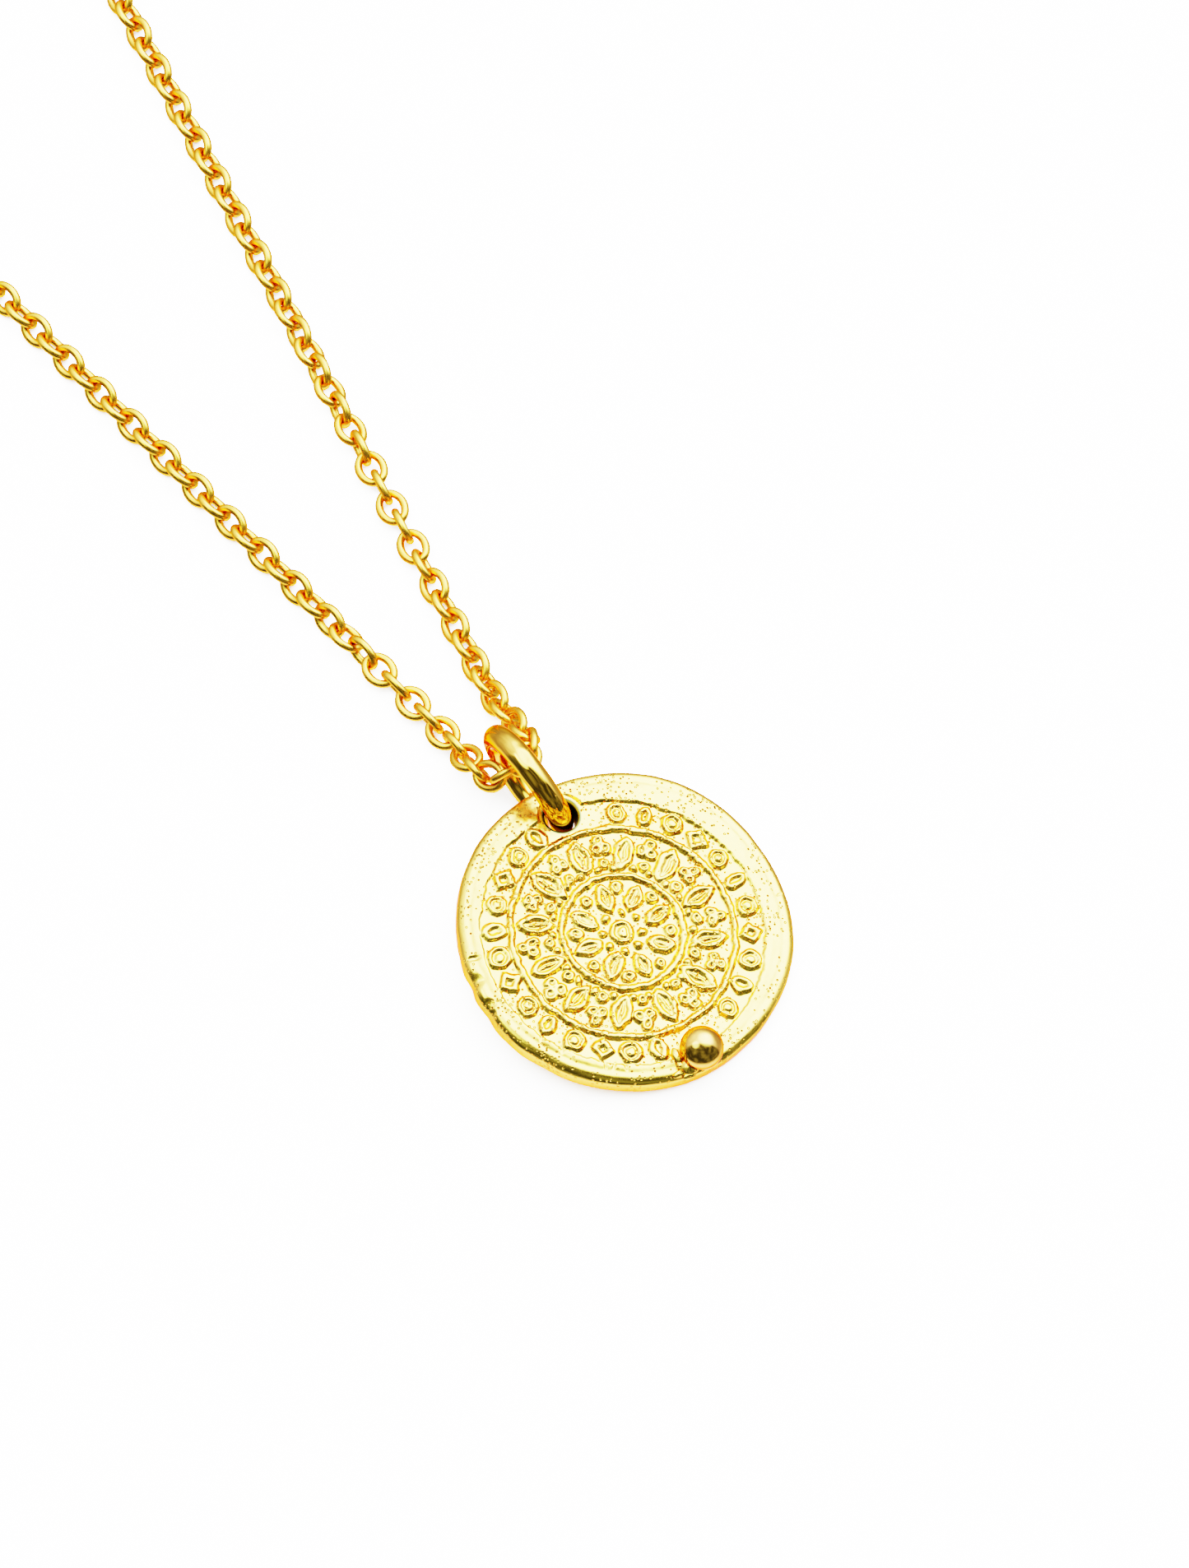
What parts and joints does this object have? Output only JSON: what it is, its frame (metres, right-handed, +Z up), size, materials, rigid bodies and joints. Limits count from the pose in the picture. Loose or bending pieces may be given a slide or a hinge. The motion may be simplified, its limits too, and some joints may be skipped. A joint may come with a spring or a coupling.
{
  "type": "pendant necklace",
  "caption": "Hand-cast disc pendant with raised pattern and a ball granule, on a jump ring and a fine oval-link cable chain closed by a ring clasp, lying flat.",
  "frame": {"origin": "on the surface that the necklace lies on, in the middle of the whole necklace seen from above", "axes": "+Y runs from the pendant to the clasp along the loop's length, +X to the right seen from above with the clasp away, +Z up from the surface"},
  "size_m": [0.0482, 0.2299, 0.0059],
  "materials": {
    "gold_plate": "polished gold plating over cast and drawn metal"
  },
  "bodies": {
    "root": {"pendant_disc": "gold_plate", "jump_ring": "gold_plate", "chain_front": "gold_plate", "chain_back": "gold_plate", "clasp": "gold_plate", "end_ring": "gold_plate"}
  },
  "joints": []
}
